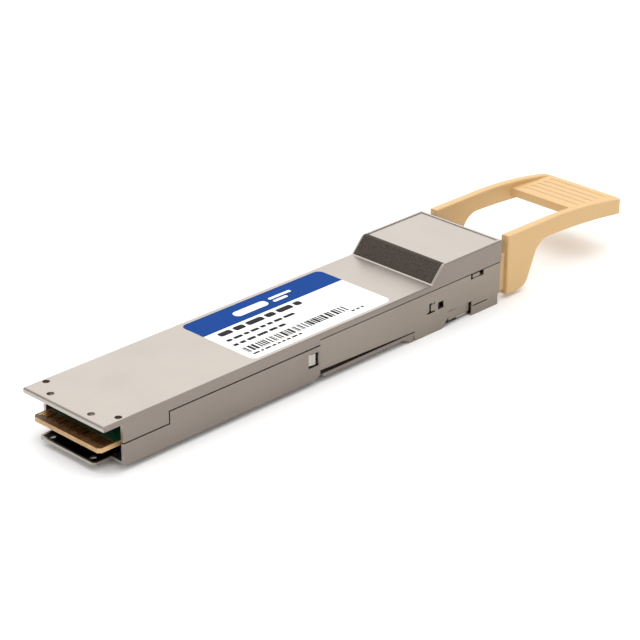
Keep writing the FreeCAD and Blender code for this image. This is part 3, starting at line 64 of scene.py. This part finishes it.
class Shader:
    """One procedural material, built around a Principled surface."""

    def __init__(self, name, roughness=0.5, metallic=0.0, edge=0.0):
        self.material = bpy.data.materials.new(name)
        self.material.use_nodes = True
        self.tree = self.material.node_tree
        self.tree.nodes.clear()
        self.surface = self.node("ShaderNodeBsdfPrincipled")
        self.surface.inputs["Roughness"].default_value = roughness
        self.surface.inputs["Metallic"].default_value = metallic
        output = self.node("ShaderNodeOutputMaterial")
        self.link(self.surface.outputs["BSDF"], output.inputs["Surface"])
        self.place = self.node("ShaderNodeTexCoord").outputs["Object"]
        self.normal = None
        if edge:
            bevel = self.node("ShaderNodeBevel", samples=4)
            bevel.inputs["Radius"].default_value = edge
            self.normal = bevel.outputs["Normal"]
            self.link(self.normal, self.surface.inputs["Normal"])

    def node(self, kind, **settings):
        item = self.tree.nodes.new(kind)
        for key, value in settings.items():
            setattr(item, key, value)
        return item

    def link(self, source, target):
        self.tree.links.new(source, target)

    def set(self, socket, value):
        self.surface.inputs[socket].default_value = value

    def drive(self, socket, source):
        self.link(source, self.surface.inputs[socket])

    def stretched(self, x, y, z):
        """Object coordinates scaled by axis, so that a texture is drawn out."""
        mapping = self.node("ShaderNodeMapping")
        mapping.inputs["Scale"].default_value = (x, y, z)
        self.link(self.place, mapping.inputs["Vector"])
        return mapping.outputs["Vector"]

    def noise(self, scale, detail=3.0, vector=None):
        item = self.node("ShaderNodeTexNoise")
        item.inputs["Scale"].default_value = scale
        item.inputs["Detail"].default_value = detail
        self.link(vector or self.place, item.inputs["Vector"])
        return item.outputs["Fac"]

    def wave(self, scale, direction, distortion):
        item = self.node("ShaderNodeTexWave", bands_direction=direction)
        item.inputs["Scale"].default_value = scale
        item.inputs["Distortion"].default_value = distortion
        self.link(self.place, item.inputs["Vector"])
        return item.outputs["Fac"]

    def cells(self, scale):
        item = self.node("ShaderNodeTexVoronoi")
        item.inputs["Scale"].default_value = scale
        self.link(self.place, item.inputs["Vector"])
        return item.outputs["Distance"]

    def math(self, operation, first, second=0.0):
        """A sum of any kind; each value is a number or a socket."""
        item = self.node("ShaderNodeMath", operation=operation)
        for socket, value in zip(item.inputs, (first, second)):
            if isinstance(value, (int, float)):
                socket.default_value = value
            else:
                self.link(value, socket)
        return item.outputs["Value"]

    def shared(self, first, share, second):
        """A share of the first value plus the rest of the second."""
        return self.math("ADD", self.math("MULTIPLY", first, share), self.math("MULTIPLY", second, 1 - share))

    def axis(self, letter):
        """One of the object coordinates, in metres."""
        split = self.node("ShaderNodeSeparateXYZ")
        self.link(self.place, split.inputs["Vector"])
        return split.outputs[letter]

    def facing(self, letter):
        """How far the surface's own normal points along an axis, from 0 to 1."""
        geometry = self.node("ShaderNodeNewGeometry")
        split = self.node("ShaderNodeSeparateXYZ")
        self.link(geometry.outputs["True Normal"], split.inputs["Vector"])
        return self.math("ABSOLUTE", split.outputs[letter])

    def inside(self, low, high):
        """1 where the object coordinates lie in a box given in metres, else 0."""
        result = 1.0
        for letter, least, most in zip("XYZ", low, high):
            place = self.axis(letter)
            result = self.math("MULTIPLY", self.math("GREATER_THAN", place, least), result)
            result = self.math("MULTIPLY", self.math("LESS_THAN", place, most), result)
        return result

    def spread(self, source, least, most):
        """The middle of a noise, 0.3 to 0.7, drawn out between two values."""
        item = self.node("ShaderNodeMapRange")
        for key, value in (("From Min", 0.3), ("From Max", 0.7), ("To Min", least), ("To Max", most)):
            item.inputs[key].default_value = value
        self.link(source, item.inputs["Value"])
        return item.outputs["Result"]

    def ramp(self, source, *stops):
        """A colour ramp; each stop is a place and a colour."""
        item = self.node("ShaderNodeValToRGB")
        elements = item.color_ramp.elements
        while len(elements) < len(stops):
            elements.new(0.5)
        for element, (place, colour) in zip(elements, stops):
            element.position = place
            element.color = (*colour, 1.0)
        self.link(source, item.inputs["Fac"])
        return item.outputs["Color"]

    def toned(self, source, colour, places, first_factor, last_factor):
        """A ramp through one colour, with a shade of it at either end."""
        first, middle, last = places
        ends = shade(colour, first_factor), shade(colour, last_factor)
        return self.ramp(source, (first, ends[0]), (middle, colour), (last, ends[1]))

    def blend(self, factor, first, second):
        """A colour mix; the factor is a socket."""
        item = self.node("ShaderNodeMix", data_type="RGBA")
        self.link(factor, item.inputs["Factor"])
        colours = [socket for socket in item.inputs if socket.type == "RGBA"]
        for socket, value in zip(colours, (first, second)):
            if isinstance(value, tuple):
                socket.default_value = (*value, 1.0)
            else:
                self.link(value, socket)
        return next(socket for socket in item.outputs if socket.type == "RGBA")

    def bump(self, height, depth, strength=1.0):
        """Adds relief of a real depth on top of what is there."""
        item = self.node("ShaderNodeBump")
        item.inputs["Distance"].default_value = depth
        item.inputs["Strength"].default_value = strength
        self.link(height, item.inputs["Height"])
        if self.normal:
            self.link(self.normal, item.inputs["Normal"])
        self.normal = item.outputs["Normal"]
        self.drive("Normal", self.normal)


def shade(colour, factor):
    """A colour made darker or lighter."""
    return tuple(min(1.0, channel * factor) for channel in colour)


# Painted shade: a warmer tint for the darker copy of a metal's colour that the upright side faces get.
PAINTED_SHADE_TINT = (1.0, 0.955, 0.93)
# Painted shade: the near-black of the shaded shell floor under the board.
PAINTED_SHADE_BLACK = (0.012, 0.010, 0.009)
FACES_UP = 0.5


def plated_metal(name, colour, roughness, streak=0.0, edge=0.00006, painted_side_shade=1.0, painted_shade_box=None):
    """Satin plated metal: broad cloudiness, fine cast grain, and faint handling streaks.

    The side factor darkens and warms the upright side faces: painted shade, standing in for the shade those
    faces take under the lights.
    The box argument gives the low and high corner of a box whose faces are painted near-black: painted shade.
    """
    s = Shader(name, metallic=1.0, edge=edge)
    cloud = s.noise(70.0, 4.0)
    fine = s.noise(5200.0, 2.0)
    mixed = s.shared(cloud, 0.65, fine)
    tone = s.toned(mixed, colour, (0.3, 0.5, 0.7), 0.90, 1.06)
    # Painted shade: faces pointing along X, the long upright sides, get a darker, warmer copy of the colour,
    # standing in for the shade they take under the lights.
    if painted_side_shade < 1.0:
        shaded_side_colour = tuple(painted_side_shade * part * warm for part, warm in zip(colour, PAINTED_SHADE_TINT))
        tone = s.blend(s.facing("X"), tone, s.toned(mixed, shaded_side_colour, (0.3, 0.5, 0.7), 0.90, 1.06))
    # Painted shade: faces inside the box are painted near-black, standing in for the shade under the board.
    if painted_shade_box:
        tone = s.blend(s.inside(*painted_shade_box), tone, PAINTED_SHADE_BLACK)
    s.drive("Base Color", tone)
    drawn = s.noise(900.0, 3.0, s.stretched(1.0, 0.04, 1.0))
    rough = s.math("ADD", s.math("MULTIPLY", cloud, 0.10), s.math("MULTIPLY", drawn, 0.06 + streak))
    s.drive("Roughness", s.math("ADD", rough, roughness - 0.08 - streak / 2))
    s.bump(fine, 0.000006, 0.7)
    if streak:
        s.bump(drawn, 0.000004, 0.6)
    return s.material


def conductive_cloth(name, dark, light):
    """Metallised cloth over foam: two crossing threads, pile and soft unevenness."""
    s = Shader(name, roughness=0.85)
    threads = s.math("MULTIPLY", s.wave(1500.0, "X", 0.6), s.wave(1500.0, "Z", 0.6))
    pile = s.noise(3800.0, 4.0)
    uneven = s.noise(240.0)
    mixed = s.shared(threads, 0.35, pile)
    s.drive("Base Color", s.ramp(mixed, (0.25, dark), (0.55, shade(light, 0.8)), (0.85, light)))
    s.set("Metallic", 0.25)
    s.bump(uneven, 0.00012)
    s.bump(mixed, 0.00006)
    return s.material


def moulded_plastic(name, colour, roughness, depth=0.000012, soft=0.0):
    """Moulded plastic with eroded-tool grain, slight flow marks and uneven gloss."""
    s = Shader(name, edge=0.00025)
    flow = s.noise(45.0, 3.0, s.stretched(1.0, 0.35, 1.0))
    fine = s.noise(2600.0)
    s.drive("Base Color", s.toned(s.shared(flow, 0.75, fine), colour, (0.32, 0.5, 0.68), 0.93, 1.05))
    s.drive("Roughness", s.spread(flow, roughness - 0.06, roughness + 0.06))
    if soft:
        s.set("Subsurface Weight", soft)
        s.set("Subsurface Radius", (0.0016, 0.0011, 0.0006))
    s.bump(fine, depth)
    return s.material


def rubbery(name, colour):
    """Soft filled rubber: speckled with filler and matt."""
    s = Shader(name, roughness=0.8)
    mixed = s.shared(s.cells(3000.0), 0.5, s.noise(300.0))
    s.drive("Base Color", s.toned(mixed, colour, (0.2, 0.45, 0.8), 1.35, 0.75))
    s.bump(mixed, 0.00001)
    return s.material


BOARD_STOPS = (0.25, 0.5, 0.75)


def laminate(name):
    """Circuit board: green mask with tracks under it, bare laminate at its edges and fingers."""
    s = Shader(name, roughness=0.42)
    flat = s.math("GREATER_THAN", s.facing("Z"), FACES_UP)
    masked = s.math("MULTIPLY", s.math("GREATER_THAN", s.axis("Y"), station(MASK_START)), flat)
    tracks = s.math("GREATER_THAN", s.wave(2600.0, "X", 0.0), 0.55)
    weave = s.math("MULTIPLY", s.wave(1900.0, "X", 0.3), s.wave(1900.0, "Y", 0.3))
    mixed = s.shared(weave, 0.4, s.noise(500.0))
    green = s.blend(tracks, (0.006, 0.045, 0.022), (0.016, 0.085, 0.040))
    edge_tones = (0.42, 0.24, 0.10), (0.64, 0.41, 0.18), (0.78, 0.54, 0.27)
    field_tones = (0.07, 0.030, 0.012), (0.17, 0.080, 0.030), (0.30, 0.16, 0.060)
    cut_edge = s.ramp(mixed, *zip(BOARD_STOPS, edge_tones))
    field = s.ramp(mixed, *zip(BOARD_STOPS, field_tones))
    s.drive("Base Color", s.blend(masked, s.blend(flat, cut_edge, field), green))
    s.bump(tracks, 0.00001)
    s.bump(weave, 0.000008)
    return s.material


def gold(name):
    """Hard gold over copper, with wipe marks along the contact."""
    s = Shader(name, metallic=1.0)
    wipe = s.noise(2400.0, 3.0, s.stretched(1.0, 0.08, 1.0))
    mixed = s.shared(wipe, 0.5, s.noise(420.0, 4.0))
    tones = (0.34, 0.15, 0.05), (0.56, 0.30, 0.10), (0.74, 0.46, 0.19)
    s.drive("Base Color", s.ramp(mixed, *zip((0.3, 0.5, 0.7), tones)))
    s.drive("Roughness", s.spread(wipe, 0.22, 0.42))
    s.bump(wipe, 0.000003)
    return s.material


def printed_film(name, colour, roughness=0.38):
    """Smooth label film or its ink: faint paper fibre and hardly any mirror reflection."""
    s = Shader(name)
    s.set("Specular IOR Level", 0.02)
    fibre = s.noise(1300.0, 4.0, s.stretched(1.0, 0.5, 1.0))
    mixed = s.shared(fibre, 0.5, s.noise(90.0, 2.0))
    s.drive("Base Color", s.toned(mixed, colour, (0.3, 0.55, 0.75), 0.94, 1.04))
    s.drive("Roughness", s.spread(fibre, roughness - 0.05, roughness + 0.08))
    s.bump(fibre, 0.000004)
    return s.material


def package(name, colour, roughness=0.55, metallic=0.0):
    """Small moulded, fired or machined parts inside the housing."""
    s = Shader(name, roughness=roughness, metallic=metallic)
    fine = s.noise(4200.0)
    s.drive("Base Color", s.toned(s.shared(fine, 0.5, s.noise(500.0)), colour, (0.3, 0.52, 0.75), 0.82, 1.15))
    s.bump(fine, 0.000006)
    return s.material


# The third entry is painted shade: how far the upright side faces are darkened.
SATIN_NICKEL = {"colour": (0.445, 0.402, 0.362), "roughness": 0.36, "painted_side_shade": 0.58}
SHEET = {"streak": 0.06, "edge": 0.00005}

MATERIALS = {
    "shell_metal": plated_metal("satin_nickel", **SATIN_NICKEL),
    # This sheet's upright side faces carry painted shade too.
    "cover_steel": plated_metal("rolled_sheet", (0.41, 0.372, 0.325), 0.36, painted_side_shade=0.69, **SHEET),
    "slider_steel": plated_metal("slider_sheet", (0.46, 0.43, 0.39), 0.30, **SHEET),
    "spring_steel": plated_metal("drawn_wire", (0.50, 0.50, 0.50), 0.30, edge=0.0),
    "screw_steel": plated_metal("dark_screws", (0.16, 0.16, 0.17), 0.36, edge=0.00004),
    "retainer_steel": plated_metal("retainer_sheet", (0.55, 0.54, 0.51), 0.34, edge=0.00004),
    "pin_steel": plated_metal("ground_pins", (0.72, 0.72, 0.72), 0.14, edge=0.0),
    "oscillator_metal": plated_metal("metal_lid", (0.62, 0.58, 0.50), 0.34, edge=0.0),
    "emi_foam": conductive_cloth("slope_cloth", (0.020, 0.014, 0.010), (0.11, 0.085, 0.065)),
    "conductive_rubber": rubbery("conductive_rubber", (0.045, 0.042, 0.040)),
    "thermal_pad": rubbery("thermal_pad", (0.36, 0.37, 0.42)),
    "boot_rubber": rubbery("boot_rubber", (0.012, 0.012, 0.013)),
    "tab_plastic": moulded_plastic("tan_plastic", (0.62, 0.405, 0.180), 0.46, soft=0.08),
    "receptacle_plastic": moulded_plastic("port_plastic", (0.018, 0.018, 0.020), 0.5),
    "ferrule_resin": moulded_plastic("ferrule_resin", (0.020, 0.020, 0.023), 0.3),
    "clamp_resin": moulded_plastic("clamp_resin", (0.030, 0.030, 0.033), 0.5),
    "lens_resin": moulded_plastic("lens_resin", (0.62, 0.24, 0.03), 0.18, depth=0.000002),
    "ribbon_aqua": moulded_plastic("ribbon_coating", (0.05, 0.42, 0.44), 0.45),
    "board_laminate": laminate("board_laminate"),
    "contact_gold": gold("contact_gold"),
    "label_print": printed_film("label_film", (0.86, 0.86, 0.84)),
    "chip_black": package("chip_package", (0.012, 0.012, 0.014)),
    "inductor_grey": package("inductor_core", (0.06, 0.06, 0.065), 0.6, 0.3),
    "ceramic_tan": package("ceramic_chip", (0.32, 0.21, 0.11), 0.45),
    "substrate_ceramic": package("white_ceramic", (0.72, 0.70, 0.64), 0.5),
    "die_silicon": package("bare_die", (0.10, 0.11, 0.16), 0.18, 0.5),
}

# The painted shade box: the shell floor under the board at the connector end.
tongue_shade_box = [
    (side * TONGUE_SHADE_X * MM, station(place), height * MM)
    for side, place, height in zip((-1, 1), TONGUE_SHADE_STATIONS, TONGUE_SHADE_Z)
]

slot_of = {item["node"]: item["material_slot"] for item in frame["record"]["subparts"]}
for name, node in nodes.items():
    node.data.materials.clear()
    node.data.materials.append(MATERIALS[slot_of[name]])
# The bottom shell gets the nickel with painted shade on its floor under the board.
shell_with_painted_shade = plated_metal("satin_nickel_painted_shade", painted_shade_box=tongue_shade_box, **SATIN_NICKEL)
nodes["bottom_shell"].data.materials[0] = shell_with_painted_shade


# ---------------------------------------------------------------- label print


BAND = ((-10.14, 37.66), (-3.5, 75.64))
BAND_ROUND = 1.46
MARK = (
    # low corner, high corner, corner radius, steps to a corner
    ((-7.6, 48.6), (-5.4, 57.4), 1.0, 8),
    ((-7.6, 58.6), (-6.8, 64.6), 0.35, 4),
    ((-6.2, 58.6), (-5.4, 62.4), 0.35, 4),
)
BAR_ROWS = (
    # middle in x, width, start, end, shortest bar, longest bar, gap
    (-1.85, 1.6, 40.2, 62.2, 2.2, 5.5, 0.7),
    (1.0, 0.85, 39.6, 57.9, 1.2, 3.2, 0.5),
    (3.3, 0.85, 39.2, 53.0, 1.0, 2.8, 0.5),
    (8.5, 0.55, 39.4, 53.0, 0.7, 1.6, 0.4),
    (8.3, 0.5, 66.2, 70.0, 0.6, 1.2, 0.35),
)
BAR_ROUND = 0.3
STRIPES = (5.2, 7.5, 39.3, 66.6)
STRIPE_WIDTHS = (0.2, 0.4, 0.4, 0.7)
STRIPE_GAPS = (0.18, 0.25, 0.25, 0.5)


def rounded_outline(low, high, radii, steps):
    """Corners of a rectangle in x and y; radii run anticlockwise from the low corner."""
    (x0, y0), (x1, y1) = low, high
    corners = ((x0, y0, 180), (x1, y0, 270), (x1, y1, 0), (x0, y1, 90))
    points = []
    for (x, y, turn), radius in zip(corners, radii):
        if not radius:
            points.append((x, y))
            continue
        cx = x + radius if x == x0 else x - radius
        cy = y + radius if y == y0 else y - radius
        for step in range(steps + 1):
            angle = math.radians(turn + 90 * step / steps)
            points.append((cx + radius * math.cos(angle), cy + radius * math.sin(angle)))
    return points


def plates(name, outlines, low, high, material):
    """Thin raised shapes, one mesh: each outline is a list of x and station points in mm."""
    mesh = bpy.data.meshes.new(name)
    shapes = bmesh.new()
    for outline in outlines:
        rings = [
            [shapes.verts.new((x * MM, station(y), z * MM)) for x, y in outline]
            for z in (low, high)
        ]
        shapes.faces.new(rings[1])
        shapes.faces.new(reversed(rings[0]))
        count = len(outline)
        for index in range(count):
            after = (index + 1) % count
            shapes.faces.new((rings[0][index], rings[0][after], rings[1][after], rings[1][index]))
    shapes.to_mesh(mesh)
    shapes.free()
    piece = bpy.data.objects.new(name, mesh)
    bpy.context.scene.collection.objects.link(piece)
    mesh.materials.append(material)
    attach(piece, "housing")


def bar_row(rng, x, width, start, end, shortest, longest, gap):
    """A broken line of plain rounded bars along the module, in place of a line of print."""
    bars = []
    place = start
    while place < end - shortest / 2:
        stop = min(place + rng.uniform(shortest, longest), end)
        radius = min(width, stop - place) * BAR_ROUND
        bars.append(rounded_outline((x - width / 2, place), (x + width / 2, stop), (radius,) * 4, 3))
        place = stop + gap
    return bars


def stripe_block(rng, low_x, high_x, start, end):
    """Plain stripes of uneven width across a block."""
    stripes = []
    place = start
    while place < end - STRIPE_WIDTHS[0]:
        width = rng.choice(STRIPE_WIDTHS)
        stripes.append([(low_x, place), (high_x, place), (high_x, place + width), (low_x, place + width)])
        place += width + rng.choice(STRIPE_GAPS)
    return stripes


def print_label():
    """A plain blue band with a blank mark, and bars and stripes that spell nothing."""
    rng = random.Random(7)
    blue = printed_film("blue_ink", (0.006, 0.050, 0.235), 0.45)
    grey = printed_film("grey_ink", (0.022, 0.022, 0.025), 0.42)
    white = printed_film("white_ink", (0.88, 0.88, 0.88), 0.40)
    top = THERMAL_Z + PRINT_THICKNESS
    upper = top + PRINT_THICKNESS
    band = rounded_outline(*BAND, (BAND_ROUND, 0, 0, BAND_ROUND), 8)
    plates("label_band", [band], THERMAL_Z - PRINT_THICKNESS, top, blue)
    mark = [rounded_outline(low, high, (radius,) * 4, steps) for low, high, radius, steps in MARK]
    plates("label_mark", mark, top - PRINT_THICKNESS, upper, white)
    lines = [bar for row in BAR_ROWS for bar in bar_row(rng, *row)]
    lines += stripe_block(rng, *STRIPES)
    plates("label_lines", lines, THERMAL_Z - PRINT_THICKNESS, top, grey)


print_label()


# ---------------------------------------------------------------- stage, light and camera


FLOOR_HALF_SIZE = 2.5
LENS_MM = 130.139
SENSOR_MM = 36.0
CAMERA_PLACE = (0.2924479, -0.3050906, 0.2010961)
CAMERA_TURN = (64.92273, -0.12943, 44.65107)
WORLD_TINT = (1.0, 0.99, 0.975, 1.0)
WORLD_STRENGTH = 0.5
LIGHTS = (
    # name, place, target, size, watts
    ("key", (-0.35, 0.30, 0.80), (0.0, 0.0, 0.0), (2.0, 2.0), 14.0),
    ("sweep", (0.45, -0.10, 0.80), (0.12, -0.02, 0.0), (0.9, 1.2), 4.5),
    ("front", (0.05, -0.75, 0.40), (0.0, -0.05, 0.0), (0.6, 0.4), 1.6),
)


def make_floor():
    mesh = bpy.data.meshes.new("floor")
    surface = bmesh.new()
    bmesh.ops.create_grid(surface, x_segments=8, y_segments=8, size=FLOOR_HALF_SIZE)
    surface.to_mesh(mesh)
    surface.free()
    floor = bpy.data.objects.new("floor", mesh)
    bpy.context.scene.collection.objects.link(floor)
    s = Shader("pale_floor", roughness=0.9)
    s.drive("Base Color", s.ramp(s.noise(3.0, 2.0), (0.3, (0.90, 0.90, 0.90)), (0.7, (0.93, 0.93, 0.93))))
    s.set("Specular IOR Level", 0.1)
    mesh.materials.append(s.material)


def make_light(name, place, target, size, power):
    data = bpy.data.lights.new(name, "AREA")
    data.shape = "RECTANGLE"
    data.size, data.size_y = size
    data.energy = power
    light = bpy.data.objects.new(name, data)
    light.location = place
    light.rotation_euler = (Vector(target) - Vector(place)).to_track_quat("-Z", "Y").to_euler()
    bpy.context.scene.collection.objects.link(light)


def make_world():
    world = bpy.data.worlds.new("studio")
    world.use_nodes = True
    background = world.node_tree.nodes["Background"]
    background.inputs["Color"].default_value = WORLD_TINT
    background.inputs["Strength"].default_value = WORLD_STRENGTH
    bpy.context.scene.world = world


def make_camera():
    data = bpy.data.cameras.new("camera")
    data.lens = LENS_MM
    data.sensor_width = SENSOR_MM
    data.clip_start = 0.01
    camera = bpy.data.objects.new("camera", data)
    camera.location = CAMERA_PLACE
    camera.rotation_euler = [math.radians(angle) for angle in CAMERA_TURN]
    bpy.context.scene.collection.objects.link(camera)
    bpy.context.scene.camera = camera


make_floor()
for light_settings in LIGHTS:
    make_light(*light_settings)
make_world()
make_camera()
bpy.context.scene.view_settings.view_transform = "Standard"
